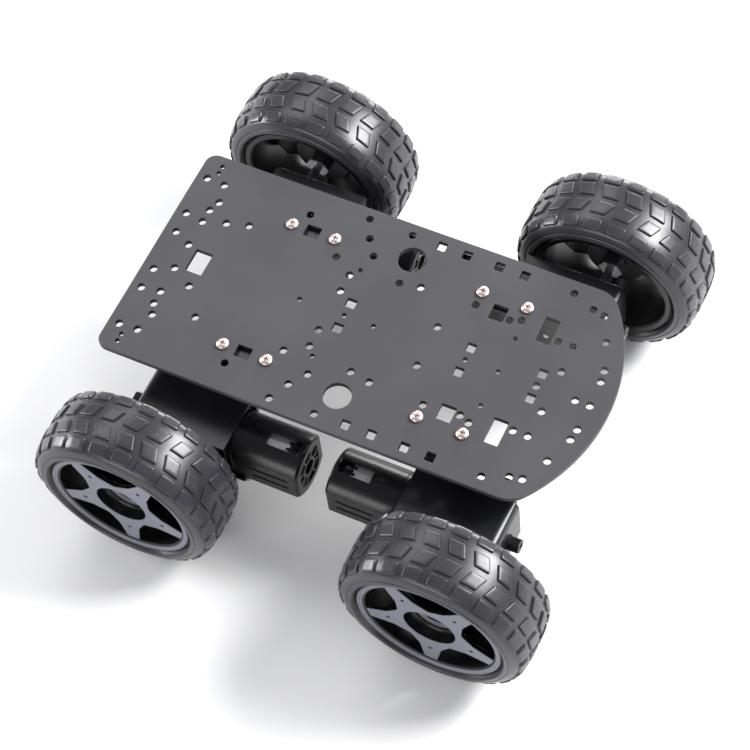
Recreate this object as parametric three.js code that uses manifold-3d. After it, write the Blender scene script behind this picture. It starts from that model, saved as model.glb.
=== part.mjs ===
// Four wheel robot chassis: a flat deck plate on four right-angle gear motors, each with its own wheel.
// Millimetres. +X is forward, +Y is left, +Z is up, and the origin lies on the ground
// midway between the four tyres.

import * as THREE from 'three';
import { mergeVertices } from 'three/addons/utils/BufferGeometryUtils.js';
import Module from 'manifold-3d';

const wasm = await Module();
wasm.setup();

// ---- driving dimensions ----
const GAP = 0.3;                    // clearance between separate pieces
const AXLE_X = 82.7;                // half the wheelbase
const WHEEL_Y = 104;                // middle of a tyre, from the centre line
const TYRE_R = 49.5;
const AXLE_Z = TYRE_R;
const MOTOR_Z = 47.8;               // motor axis and middle of the gear case

const DECK = {
  front: 122.8, rear: -122.8, half: 62, top: 86.2, thick: 3, noseR: 93, noseFillet: 14, tailR: 6,
};
const DECK_BOTTOM = DECK.top - DECK.thick;
const SCREW_X = [40.2, 64];         // deck screws of one motor unit
const SCREW_Y = 38.1;

const BOX = { x0: 45.2, x1: 98.2, y0: 50.5, y1: 80.5, half: 16.2, bend: 5.5 };   // gear case envelope
const SHEET = 1;                    // gear case wrap
const WEB = 1.9;                    // mount bracket
const MOTOR_Y = 64.7;               // motor axis
const COVER = { x0: 7.6, r: 16.2, flat: 13.5, wall: 1.3 };
const CAN = { x0: 12.5, r: 12.2, wall: 1 };

const SHAFT_R = 2.5;
const OUTPUT = { teeth: 18, r: 11, y0: 53.8, y1: 58 };
const DRIVE = { teeth: 6, r: 3.67 };        // small gear on the crown gear's hub
const CROWN = { teeth: 18, r: 10.8, r0: 9.6, r1: 12, y0: 57.4 };
const PINION = { teeth: 6, r: 3.6 };
const TILT = Math.asin((AXLE_Z - MOTOR_Z) / (OUTPUT.r + DRIVE.r));   // slope from axis to axis
const CROWN_X = AXLE_X - (OUTPUT.r + DRIVE.r) * Math.cos(TILT);
const PINION_X = CROWN_X - CROWN.r;

const RIM = { lip: 37.2, open: 33.5, bed: 34.7, y0: 85.9, y1: 122.1, lipWidth: 1.6 };
const HUB = { hole: 13.3, ring: 17.4, floor0: 102.8, floor1: 105.8, face: 121.5, web: 3.6 };
const TYRE_HALF = 19.7;

const CORNERS = [['front_left', 1, 1], ['front_right', 1, -1], ['rear_left', -1, 1], ['rear_right', -1, -1]];

// ---- materials ----
const finish = (color, roughness, metalness) => () =>
  new THREE.MeshStandardMaterial({ color, roughness, metalness });
const LOOK = {
  deck: finish(0x55565a, 0.5, 0.55),
  sheet: finish(0x2b2d31, 0.5, 0.6),
  plastic: finish(0x141416, 0.45, 0.0),
  can: finish(0xb9bcc2, 0.3, 0.9),
  screw: finish(0xe6dedb, 0.25, 0.95),
  bolt: finish(0x191a1c, 0.4, 0.6),
  steel: finish(0xa4a7ab, 0.3, 0.9),
  gear: finish(0xd8d4c8, 0.5, 0.0),
  rim: finish(0x8b8b95, 0.45, 0.5),
  tyre: finish(0x2a2a2d, 0.8, 0.0),
};

// ---- solid helpers ----
function toSolid(geometry) {
  const plain = geometry.clone();
  plain.deleteAttribute('normal');
  plain.deleteAttribute('uv');
  const merged = mergeVertices(plain, 1e-4);
  const vertProperties = new Float32Array(merged.attributes.position.array);
  const triVerts = new Uint32Array(merged.index.array);
  return new wasm.Manifold(new wasm.Mesh({ numProp: 3, vertProperties, triVerts }));
}

function toGeometry(solid) {
  const mesh = solid.getMesh();
  const geometry = new THREE.BufferGeometry();
  geometry.setAttribute('position', new THREE.BufferAttribute(mesh.vertProperties, 3));
  geometry.setIndex(new THREE.BufferAttribute(mesh.triVerts, 1));
  geometry.computeVertexNormals();
  return geometry;
}

const join = (first, ...rest) => rest.reduce((sum, piece) => sum.add(piece), first);
const cut = (first, ...rest) => rest.reduce((left, tool) => left.subtract(tool), first);

function box(x0, x1, y0, y1, z0, z1) {
  const geometry = new THREE.BoxGeometry(x1 - x0, y1 - y0, z1 - z0);
  return toSolid(geometry.translate((x0 + x1) / 2, (y0 + y1) / 2, (z0 + z1) / 2));
}

// A rod between two stations along X, Y or Z.
function rod(axis, radius, from, to, centre, segments = 16) {
  const geometry = new THREE.CylinderGeometry(radius, radius, to - from, segments);
  const middle = (from + to) / 2;
  if (axis === 'x') geometry.rotateZ(-Math.PI / 2).translate(middle, centre[0], centre[1]);
  if (axis === 'y') geometry.translate(centre[0], middle, centre[1]);
  if (axis === 'z') geometry.rotateX(Math.PI / 2).translate(centre[0], centre[1], middle);
  return toSolid(geometry);
}

// A turned body: [radius, station] points about an axle parallel to Y or X.
function turned(points, axis, centre, segments) {
  const profile = points.map(([r, s]) => new THREE.Vector2(r, s));
  const geometry = new THREE.LatheGeometry(profile, segments);
  if (axis === 'x') geometry.rotateZ(-Math.PI / 2).translate(0, centre[0], centre[1]);
  else geometry.translate(centre[0], 0, centre[1]);
  const solid = toSolid(geometry);
  return solid.volume() < 0 ? toSolid(flipped(geometry)) : solid;
}

function flipped(geometry) {
  const index = geometry.index.array;
  for (let i = 0; i < index.length; i += 3) [index[i], index[i + 1]] = [index[i + 1], index[i]];
  return geometry;
}

// An outline in the XZ plane, extruded along Y.
function slabXZ(shape, y0, y1) {
  const geometry = new THREE.ExtrudeGeometry(shape, { depth: y1 - y0, bevelEnabled: false });
  return toSolid(geometry.rotateX(Math.PI / 2).translate(0, y1, 0));
}

function slabYZ(shape, x0, x1) {
  const geometry = new THREE.ExtrudeGeometry(shape, { depth: x1 - x0, bevelEnabled: false });
  geometry.rotateX(Math.PI / 2).rotateZ(Math.PI / 2);
  return toSolid(geometry.translate(x0, 0, 0));
}

// An outline with its arcs broken into straight steps and no repeated corners.
function stepped(shape, divisions) {
  const points = shape.getPoints(divisions);
  return new THREE.Shape(points.filter((p, i) => p.distanceTo(points[(i + 1) % points.length]) > 0.001));
}

function polygon(points) {
  return new THREE.Shape(points.map(([a, b]) => new THREE.Vector2(a, b)));
}

// ---- deck plate ----
function deckOutline() {
  const { front, rear, half, noseR, noseFillet, tailR } = DECK;
  const centreX = front - noseR;
  const filletY = half - noseFillet;
  const filletX = centreX + Math.sqrt((noseR - noseFillet) ** 2 - filletY ** 2);
  const lean = Math.atan2(filletY, filletX - centreX);
  const shape = new THREE.Shape();
  shape.moveTo(rear + tailR, -half);
  shape.lineTo(filletX, -half);
  shape.absarc(filletX, -filletY, noseFillet, -Math.PI / 2, -lean, false);
  shape.absarc(centreX, 0, noseR, -lean, lean, false);
  shape.absarc(filletX, filletY, noseFillet, lean, Math.PI / 2, false);
  shape.lineTo(rear + tailR, half);
  shape.absarc(rear + tailR, half - tailR, tailR, Math.PI / 2, Math.PI, false);
  shape.absarc(rear + tailR, -half + tailR, tailR, Math.PI, 1.5 * Math.PI, false);
  return stepped(shape, 8);
}

function roundHole(x, y, r) {
  return rod('z', r, DECK_BOTTOM - 1, DECK.top + 1, [x, y], r > 3 ? 20 : r < 1.5 ? 6 : 8);
}

function windowHole([length, width], x, y) {
  return box(x - length / 2, x + length / 2, y - width / 2, y + width / 2, DECK_BOTTOM - 1, DECK.top + 1);
}

// Mirrored pairs are given once, for the left side.
const ROUND_PAIRS = {
  2: [[-117, 47], [-107, 46.5], [-104.5, 36], [-106.8, 30], [-107, 22.5], [-117, 24], [-116.5, 12],
    [-107, 7.5], [-84, 29.2], [-58.5, 47], [-35.4, 29.3], [-29.8, 56], [-24.8, 45.5], [-18.6, 36.8],
    [-24.8, 22.2], [-24.8, 12.2], [-6, 55.4], [0, 27.4], [10.7, 29.3], [27.8, 11.8], [39.7, 30.5],
    [58.4, 28.8], [63.8, 31], [84.8, 26.6], [92.4, 26.6], [93, 11.8], [81.2, 55], [93.2, 50],
    [99.4, 48.6], [106.2, 35.2], [111.6, 20.4], [112.4, 14.2]],
  1.2: [[-113, 52], [-113, 56.2], [-21, 26.8], [65.2, 20.2]],
  7.1: [[0, 42.2]],
};
const ROUND_CENTRE = { 2: [85.2, 105.2, 112.8], 1.3: [-41.2, -16.9, -1, 47.9, 65.2] };
const ROUND_SINGLE = [[-95.3, -14.3], [-95.3, 26.2]];
const WINDOW_PAIRS = [
  { size: [4.7, 4.9], at: [[10.3, 55], [24, 55], [41.4, 55], [55, 55], [47.7, 7.3], [85.2, 7.3]] },
  { size: [5.4, 5], at: [[-16.8, 7.6]] },
  { size: [7.8, 6.6], at: [[-53, 38.1]] },
  { size: [7.8, 8.6], at: [[51.8, 30.4]] },
  { size: [7.6, 14.2], at: [[77.8, 30.4]] },
];
const TAIL_WINDOW = { size: [9.2, 13.2], x: -97.2 };

function deckPlate() {
  const geometry = new THREE.ExtrudeGeometry(deckOutline(), { depth: DECK.thick, bevelEnabled: false });
  const plate = toSolid(geometry.translate(0, 0, DECK_BOTTOM));
  const holes = [windowHole(TAIL_WINDOW.size, TAIL_WINDOW.x, 0)];
  for (const side of [1, -1]) {
    for (const [radius, places] of Object.entries(ROUND_PAIRS)) {
      for (const [x, y] of places) holes.push(roundHole(x, side * y, Number(radius)));
    }
    for (const { size, at } of WINDOW_PAIRS) {
      for (const [x, y] of at) holes.push(windowHole(size, x, side * y));
    }
    for (const x of SCREW_X) {
      holes.push(roundHole(x, side * SCREW_Y, 1.8), roundHole(-x, side * SCREW_Y, 1.8));
    }
  }
  for (const [radius, places] of Object.entries(ROUND_CENTRE)) {
    for (const x of places) holes.push(roundHole(x, 0, Number(radius)));
  }
  for (const [x, y] of ROUND_SINGLE) holes.push(roundHole(x, y, 2));
  return cut(plate, ...holes);
}

// Pan-head machine screw, head down to shank.
function deckScrew() {
  const seat = DECK.top + 0.1;
  const tip = DECK_BOTTOM - WEB - 3;
  const profile = [[0, tip], [1.5, tip], [1.5, seat], [3.15, seat], [2.9, seat + 1.6], [0, seat + 2.2]];
  return new THREE.LatheGeometry(profile.map(([r, z]) => new THREE.Vector2(r, z)), 8).rotateX(Math.PI / 2);
}

// ---- one motor unit, drawn for the front left corner ----
function mountBracket() {
  const top = DECK_BOTTOM - GAP;
  const y1 = BOX.y0 - GAP;
  const web = box(34, 96, y1 - WEB, y1, MOTOR_Z - BOX.half + 1, top);
  const corner = box(33, BOX.x0 - 2, y1 - WEB - 1, y1 + 1, MOTOR_Z - BOX.half, MOTOR_Z + BOX.half + 6);
  const tabs = SCREW_X.map((x) => box(x - 6.2, x + 6.2, SCREW_Y - 4.6, y1, top - WEB, top));
  const holes = SCREW_X.map((x) => rod('z', 1.8, top - WEB - 1, top + 1, [x, SCREW_Y], 8));
  const bearings = [[AXLE_X, AXLE_Z, SHAFT_R + GAP], [CROWN_X, MOTOR_Z, 1.8]];
  const pivots = bearings.map(([x, z, r]) => rod('y', r, y1 - WEB - 1, y1 + 1, [x, z], 10));
  const slots = [[74, 91], [47, 57.2]].map(([a, b]) => box(a, b, y1 - WEB - 1, y1 + 1, top - 14, top - 6));
  return toGeometry(cut(join(cut(web, corner), ...tabs), ...holes, ...pivots, ...slots));
}

// Profile of the gear case in the XZ plane: square inboard, rounded outboard.
function caseOutline(inset) {
  const [x0, x1] = [BOX.x0, BOX.x1 - inset];
  const [z0, z1] = [MOTOR_Z - BOX.half + inset, MOTOR_Z + BOX.half - inset];
  const r = BOX.bend - inset;
  const shape = new THREE.Shape();
  shape.moveTo(x0, z0);
  shape.lineTo(x1 - r, z0);
  shape.absarc(x1 - r, z0 + r, r, -Math.PI / 2, 0, false);
  shape.absarc(x1 - r, z1 - r, r, 0, Math.PI / 2, false);
  shape.lineTo(x0, z1);
  shape.closePath();
  return stepped(shape, 3);
}

function caseWrap() {
  const { y0, y1 } = BOX;
  const outer = slabXZ(caseOutline(0), y0, y1);
  const inner = slabXZ(caseOutline(SHEET), y0 - 1, y1 + 1);
  const clear = BOX.half - SHEET;
  const overrun = box(BOX.x0 - 1, BOX.x0 + 1, y0 - 1, y1 + 1, MOTOR_Z - clear, MOTOR_Z + clear);
  const boltHole = rod('x', 2.6, BOX.x1 - 3, BOX.x1 + 1, [MOTOR_Y, AXLE_Z], 8);
  return toGeometry(cut(outer, inner, overrun, boltHole));
}

// Gear case: a tub closed by the mount bracket's web.
function gearCase() {
  const wall = 1.2;
  const inset = SHEET + GAP;
  const tub = slabXZ(caseOutline(inset), BOX.y0, BOX.y1 - GAP);
  const [z0, z1] = [MOTOR_Z - BOX.half + inset + wall, MOTOR_Z + BOX.half - inset - wall];
  const hollow = box(BOX.x0 + wall, BOX.x1 - inset - wall, BOX.y0 - 1, BOX.y1 - wall, z0, z1);
  const shaftHole = rod('y', SHAFT_R + GAP, BOX.y1 - 3, BOX.y1 + 1, [AXLE_X, AXLE_Z], 10);
  const motorHole = rod('x', 4.5, BOX.x0 - 1, BOX.x0 + 3, [MOTOR_Y, MOTOR_Z], 10);
  const boltHole = rod('x', 2.3, BOX.x1 - 5, BOX.x1, [MOTOR_Y, AXLE_Z], 8);
  return toGeometry(cut(tub, hollow, shaftHole, motorHole, boltHole));
}

function endBolt() {
  const x = BOX.x1;
  const head = [[4.1, x + GAP], [3.9, x + 6.6], [0, x + 6.6]];
  const profile = [[0, x - 3.4], [1.9, x - 3.4], [1.9, x + GAP], ...head];
  return turned(profile, 'x', [MOTOR_Y, AXLE_Z], 8);
}

// Round section with two flat sides.
function coverSection(inset) {
  const r = COVER.r - inset;
  const flat = COVER.flat - inset;
  const lean = Math.acos(flat / r);
  const shape = new THREE.Shape();
  shape.absarc(MOTOR_Y, MOTOR_Z, r, lean, Math.PI - lean, false);
  shape.absarc(MOTOR_Y, MOTOR_Z, r, Math.PI + lean, 2 * Math.PI - lean, false);
  shape.closePath();
  return stepped(shape, 3);
}

function motorCover() {
  const { x0, r, flat, wall } = COVER;
  const x1 = BOX.x0 - GAP;
  const shell = cut(slabYZ(coverSection(0), x0, x1), slabYZ(coverSection(wall), x0 + 1.4, x1 + 1));
  const bearingHole = rod('x', 4, x0 - 1, x0 + 3, [MOTOR_Y, MOTOR_Z], 10);
  const vents = [0, 1, 2, 3].map((i) => {
    const angle = (i + 0.5) * Math.PI / 2;
    const at = [MOTOR_Y + 8.3 * Math.cos(angle), MOTOR_Z + 8.3 * Math.sin(angle)];
    return rod('x', 1.9, x0 - 1, x0 + 3, at, 6);
  });
  const topWindow = box(10.5, 27.8, MOTOR_Y - 4, MOTOR_Y + 4, MOTOR_Z + 6, MOTOR_Z + r + 1);
  const sideSlots = [3.1, -3.1].map((dz) =>
    box(13, 33, MOTOR_Y + flat - wall - 1, MOTOR_Y + flat + 1, MOTOR_Z + dz - 0.9, MOTOR_Z + dz + 0.9));
  return toGeometry(cut(shell, bearingHole, ...vents, topWindow, ...sideSlots));
}

function motorCan() {
  const { x0, r, wall } = CAN;
  const x1 = BOX.x0 - 2 * GAP;
  const outside = [[1.6, x1 - wall], [1.6, x1], [r, x1], [r, x0], [3.2, x0], [3.2, x0 + wall]];
  const inside = [[r - wall, x0 + wall], [r - wall, x1 - wall], [1.6, x1 - wall]];
  return turned([...outside, ...inside], 'x', [MOTOR_Y, MOTOR_Z], 12);
}

// Gear outline of straight-sided teeth, centred on the origin; phase turns the first tooth.
function gearOutline({ teeth, r }, addendum, dedendum, phase) {
  const pitch = (2 * Math.PI) / teeth;
  const steps = [[-0.29, -dedendum], [-0.09, addendum], [0.09, addendum], [0.29, -dedendum]];
  const points = [];
  for (let i = 0; i < teeth; i += 1) {
    for (const [turn, height] of steps) {
      const angle = phase + (i + turn) * pitch;
      points.push([(r + height) * Math.cos(angle), (r + height) * Math.sin(angle)]);
    }
  }
  return points;
}

// Armature and its shaft, with the pinion on the end.
function rotor() {
  const at = [MOTOR_Y, MOTOR_Z];
  const x1 = PINION_X + 2;
  const tail = [[0, CAN.x0 - 1.5], [1, CAN.x0 - 1.5], [1, CAN.x0 + 4]];
  const armature = [[9.4, CAN.x0 + 4], [9.4, 37], [1, 37]];
  const spindle = turned([...tail, ...armature, [1, x1 + 0.6], [0, x1 + 0.6]], 'x', at, 8);
  const outline = gearOutline(PINION, 0.8, 1.1, Math.PI + Math.PI / PINION.teeth);
  const teeth = slabYZ(polygon(outline.map(([a, b]) => [a + at[0], b + at[1]])), x1 - 3.4, x1);
  return toGeometry(join(spindle, teeth));
}

// Crown gear with face teeth towards the pinion, and the small drive gear on its hub.
function crownGear() {
  const at = [CROWN_X, MOTOR_Z];
  const toothTop = MOTOR_Y - PINION.r + 0.85;
  const flange = [[CROWN.r1, CROWN.y0 + 0.7], [CROWN.r1, CROWN.y0 + 2.6]];
  const blank = turned([[0, BOX.y0 - 2], [1.5, BOX.y0 - 2], [1.5, CROWN.y0 + 0.7], ...flange,
    [1.5, CROWN.y0 + 2.6], [1.5, BOX.y1 - 2.4], [0, BOX.y1 - 2.4]], 'y', at, 16);
  const root = CROWN.y0 + 2.5;
  const tooth = polygon([[-0.8, root], [0.8, root], [0.3, toothTop], [-0.3, toothTop]]);
  const teeth = [];
  for (let i = 0; i < CROWN.teeth; i += 1) {
    const bar = new THREE.ExtrudeGeometry(tooth, { depth: CROWN.r1 - CROWN.r0 - 0.4, bevelEnabled: false });
    bar.rotateY(Math.PI / 2).translate(CROWN.r0, 0, 0);
    bar.rotateY((2 * Math.PI * i) / CROWN.teeth).translate(at[0], 0, at[1]);
    teeth.push(toSolid(bar));
  }
  const outline = gearOutline(DRIVE, 0.75, 0.95, TILT).map(([a, b]) => [a + at[0], b + at[1]]);
  const drive = slabXZ(polygon(outline), OUTPUT.y0 - 0.2, OUTPUT.y1 - 0.4);
  return toGeometry(join(blank, drive, ...teeth));
}

// Output shaft with its gear inside the case and a drive hexagon behind the wheel.
function outputShaft() {
  const at = [AXLE_X, AXLE_Z];
  const hex = HUB.floor0 - GAP;
  const shaft = rod('y', SHAFT_R, BOX.y0 - 2, HUB.floor1 + 4.6, at, 10);
  const drive = rod('y', 6.6, hex - 6, hex, at, 6);
  const collar = rod('y', 4.2, BOX.y1 + 0.5, BOX.y1 + 2, at, 8);
  const outline = gearOutline(OUTPUT, 0.7, 0.95, Math.PI / OUTPUT.teeth + TILT);
  const gear = slabXZ(polygon(outline.map(([a, b]) => [a + at[0], b + at[1]])), OUTPUT.y0, OUTPUT.y1 - 0.6);
  return toGeometry(join(shaft, drive, collar, gear));
}

// ---- wheel ----
function starSpokes() {
  const count = 5;
  const first = 52 * Math.PI / 180;
  const half = { waist: 5.6, tip: 3.4 };
  const shape = new THREE.Shape();
  for (let i = 0; i < count; i += 1) {
    const lean = first + (2 * Math.PI * i) / count;
    const spot = (along, across) => [
      AXLE_X + along * Math.cos(lean) - across * Math.sin(lean),
      AXLE_Z + along * Math.sin(lean) + across * Math.cos(lean)];
    const tip = RIM.bed - 0.4;
    if (i === 0) shape.moveTo(...spot(tip, -half.tip));
    else shape.lineTo(...spot(tip, -half.tip));
    shape.lineTo(...spot(tip, half.tip));
    shape.lineTo(...spot(21.5, half.waist));
    const valley = first + (2 * Math.PI * (i + 0.5)) / count;
    shape.lineTo(AXLE_X + HUB.ring * Math.cos(valley), AXLE_Z + HUB.ring * Math.sin(valley));
    const next = first + (2 * Math.PI * (i + 1)) / count;
    shape.lineTo(AXLE_X + 21.5 * Math.cos(next) + half.waist * Math.sin(next),
      AXLE_Z + 21.5 * Math.sin(next) - half.waist * Math.cos(next));
  }
  shape.closePath();
  return stepped(shape, 1);
}

function wheelRim() {
  const at = [AXLE_X, AXLE_Z];
  const { lip, open, bed, y0, y1, lipWidth } = RIM;
  const well = [[bed, y0 + lipWidth], [bed, y1 - lipWidth]];
  const barrel = turned([[open, y0], [lip, y0], [lip, y0 + lipWidth], ...well,
    [lip, y1 - lipWidth], [lip, y1], [open, y1], [open, y0]], 'y', at, 24);
  const { hole, ring, floor0, floor1, face, web } = HUB;
  const bore = SHAFT_R + GAP;
  const skirt = [[ring - 2, floor0], [ring - 2, face - web], [ring, face - web], [ring, face]];
  const cup = turned([[bore, floor0], ...skirt, [hole, face], [hole, floor1], [bore, floor1],
    [bore, floor0]], 'y', at, 12);
  const eye = rod('y', hole + 0.5, face - web - 1, face + 1, at, 12);
  const star = cut(slabXZ(starSpokes(), face - web, face), eye);
  return toGeometry(join(barrel, cup, star));
}

function wheelTyre() {
  const bead = RIM.bed + GAP;
  const seat = (RIM.y1 - RIM.y0) / 2 - RIM.lipWidth - GAP;
  const shoulder = [[42, TYRE_HALF], [47, TYRE_HALF - 1.5], [TYRE_R, TYRE_HALF - 9.3]];
  const side = [[bead, seat], [RIM.lip + 0.5, seat], [RIM.lip + 0.5, TYRE_HALF - 1.1], ...shoulder];
  const inboard = side.map(([r, s]) => [r, WHEEL_Y - s]);
  const outboard = side.map(([r, s]) => [r, WHEEL_Y + s]).reverse();
  return turned([...inboard, ...outboard, inboard[0]], 'y', [AXLE_X, AXLE_Z], 24);
}

// Closed dome nut that holds the wheel on its shaft.
function wheelNut() {
  const y = HUB.floor1 + GAP;
  const bore = SHAFT_R + GAP;
  const dome = [[5.6, y], [5.6, y + 4], [4, y + 6.8], [0, y + 7.8]];
  return turned([[0, y + 5.2], [bore, y + 5.2], [bore, y], ...dome], 'y', [AXLE_X, AXLE_Z], 10);
}

// ---- assembly ----
function mirrored(geometry, sx, sy) {
  const copy = geometry.clone().applyMatrix4(new THREE.Matrix4().makeScale(sx, sy, 1));
  if (sx * sy < 0) flipped(copy);
  copy.computeVertexNormals();
  return copy;
}

const group = new THREE.Group();

function addMesh(name, geometry, look) {
  const mesh = new THREE.Mesh(geometry, LOOK[look]());
  mesh.name = name;
  group.add(mesh);
  return mesh;
}

const asGeometry = (piece) => (piece.isBufferGeometry ? piece : toGeometry(piece));

const UNIT = [
  ['mount_bracket', mountBracket(), 'sheet'],
  ['gear_case', gearCase(), 'plastic'],
  ['case_wrap', caseWrap(), 'sheet'],
  ['end_bolt', endBolt(), 'bolt'],
  ['motor_cover', motorCover(), 'plastic'],
  ['motor_can', motorCan(), 'can'],
  ['motor_rotor', rotor(), 'steel'],
  ['crown_gear', crownGear(), 'gear'],
  ['output_shaft', outputShaft(), 'steel'],
  ['wheel_rim', wheelRim(), 'rim'],
  ['tyre', wheelTyre(), 'tyre'],
  ['wheel_nut', wheelNut(), 'steel'],
];

addMesh('deck_plate', toGeometry(deckPlate()), 'deck');
const screwGeometry = deckScrew();
for (const [corner, sx, sy] of CORNERS) {
  SCREW_X.forEach((x, i) => {
    addMesh(`${corner}_deck_screw_${i + 1}`, screwGeometry, 'screw').position.set(sx * x, sy * SCREW_Y, 0);
  });
  for (const [piece, solid, look] of UNIT) {
    addMesh(`${corner}_${piece}`, mirrored(asGeometry(solid), sx, sy), look);
  }
}

export default group;
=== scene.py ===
import math

import bmesh
import bpy
from mathutils import Matrix, Vector
from mathutils.geometry import delaunay_2d_cdt


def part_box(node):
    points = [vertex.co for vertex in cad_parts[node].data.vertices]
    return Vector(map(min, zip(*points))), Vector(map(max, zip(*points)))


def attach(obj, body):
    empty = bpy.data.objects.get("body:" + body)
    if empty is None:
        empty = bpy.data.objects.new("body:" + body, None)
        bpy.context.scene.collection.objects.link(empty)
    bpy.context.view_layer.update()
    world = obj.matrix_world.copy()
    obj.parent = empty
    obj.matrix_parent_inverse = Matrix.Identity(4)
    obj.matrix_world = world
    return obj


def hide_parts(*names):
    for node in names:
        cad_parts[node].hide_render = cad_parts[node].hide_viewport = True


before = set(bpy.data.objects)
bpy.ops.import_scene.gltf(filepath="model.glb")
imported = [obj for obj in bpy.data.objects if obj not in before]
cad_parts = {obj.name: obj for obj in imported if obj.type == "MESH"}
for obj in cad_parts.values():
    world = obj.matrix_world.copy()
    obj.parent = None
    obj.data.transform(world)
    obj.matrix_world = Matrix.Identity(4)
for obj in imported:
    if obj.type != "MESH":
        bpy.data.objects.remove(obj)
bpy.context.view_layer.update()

# Lengths are in millimetres; make_mesh and add_piece turn them into metres. Each unit is drawn for the front
# left corner and mirrored for the others.
MM = 0.001
CORNERS = [("front_left", 1, 1), ("front_right", 1, -1), ("rear_left", -1, 1), ("rear_right", -1, -1)]


def box_mm(node):
    low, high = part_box(node)
    return low * 1000, high * 1000


# ---------------------------------------------------------------- places, read from the frame
DECK_LOW, DECK_HIGH = box_mm("deck_plate")
TYRE_LOW, TYRE_HIGH = box_mm("front_left_tyre")
RIM_LOW, RIM_HIGH = box_mm("front_left_wheel_rim")
WRAP_LOW, WRAP_HIGH = box_mm("front_left_case_wrap")
CASE_LOW, CASE_HIGH = box_mm("front_left_gear_case")
COVER_LOW, COVER_HIGH = box_mm("front_left_motor_cover")
CAN_LOW, CAN_HIGH = box_mm("front_left_motor_can")
BOLT_LOW, BOLT_HIGH = box_mm("front_left_end_bolt")
NUT_LOW, NUT_HIGH = box_mm("front_left_wheel_nut")
SHAFT_LOW, SHAFT_HIGH = box_mm("front_left_output_shaft")
BRACKET_LOW, BRACKET_HIGH = box_mm("front_left_mount_bracket")
SCREW_LOW, SCREW_HIGH = box_mm("front_left_deck_screw_1")
CROWN_LOW, CROWN_HIGH = box_mm("front_left_crown_gear")

AXLE_X = (TYRE_LOW.x + TYRE_HIGH.x) / 2
WHEEL_Y = (TYRE_LOW.y + TYRE_HIGH.y) / 2
AXLE_Z = (TYRE_LOW.z + TYRE_HIGH.z) / 2
TYRE_R = (TYRE_HIGH.x - TYRE_LOW.x) / 2
TYRE_HALF = (TYRE_HIGH.y - TYRE_LOW.y) / 2
MOTOR_Y = (COVER_LOW.y + COVER_HIGH.y) / 2
MOTOR_Z = (COVER_LOW.z + COVER_HIGH.z) / 2
CROWN_X = (CROWN_LOW.x + CROWN_HIGH.x) / 2
BOLT_Z = (BOLT_LOW.z + BOLT_HIGH.z) / 2
SCREW_R = (SCREW_HIGH.x - SCREW_LOW.x) / 2


# ---------------------------------------------------------------- mesh building
def arc(cx, cy, r, start, end, steps):
    out = []
    for i in range(steps + 1):
        a = math.radians(start + (end - start) * i / steps)
        out.append((cx + r * math.cos(a), cy + r * math.sin(a)))
    return out


def circle(cx, cy, r, steps):
    return arc(cx, cy, r, 0, 360, steps)[:-1]


def fillet(points, radius, steps=4, closed=True):
    """Rounds each corner of a polyline. radius is one number, or one for each corner."""
    count = len(points)
    out = []
    for i, point in enumerate(points):
        r = radius[i] if isinstance(radius, (list, tuple)) else radius
        if r <= 0 or (not closed and i in (0, count - 1)):
            out.append(tuple(point))
            continue
        p = Vector(point)
        a = Vector(points[i - 1]) - p
        b = Vector(points[(i + 1) % count]) - p
        reach = min(r / max(math.tan(a.angle(b) / 2), 1e-3), a.length * 0.49, b.length * 0.49)
        start = p + a.normalized() * reach
        end = p + b.normalized() * reach
        for k in range(steps + 1):
            t = k / steps
            q = start * (1 - t) ** 2 + p * 2 * t * (1 - t) + end * t * t
            out.append((q.x, q.y))
    return out


def inset(points, distance):
    """Moves each corner of a counter-clockwise outline inwards."""
    count = len(points)
    out = []
    for i in range(count):
        p = Vector(points[i])
        a = p - Vector(points[i - 1])
        b = Vector(points[(i + 1) % count]) - p
        na = Vector((-a.y, a.x)).normalized()
        nb = Vector((-b.y, b.x)).normalized()
        n = na + nb
        q = p + n * (distance / max(1e-6, 1 + na.dot(nb)))
        out.append((q.x, q.y))
    return out


def rect(x0, y0, x1, y1):
    return [(x0, y0), (x1, y0), (x1, y1), (x0, y1)]


def turned(angle, along, across):
    """The point (along, across) turned about the origin."""
    c, s = math.cos(angle), math.sin(angle)
    return along * c - across * s, along * s + across * c


def lying(u, v, h):
    """A plate lying in the plane of the deck."""
    return u, v, h


def upright(u, v, h):
    """A plate standing along the length of the chassis."""
    return u, h, v


def crossways(u, v, h):
    """A plate standing across the chassis."""
    return h, u, v


def on_axle(u, v, h):
    """A plate standing along the length, with its middle on the wheel's axle."""
    return AXLE_X + u, h, AXLE_Z + v


def area(points):
    return sum(points[i - 1][0] * points[i][1] - points[i][0] * points[i - 1][1]
               for i in range(len(points))) / 2


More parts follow.
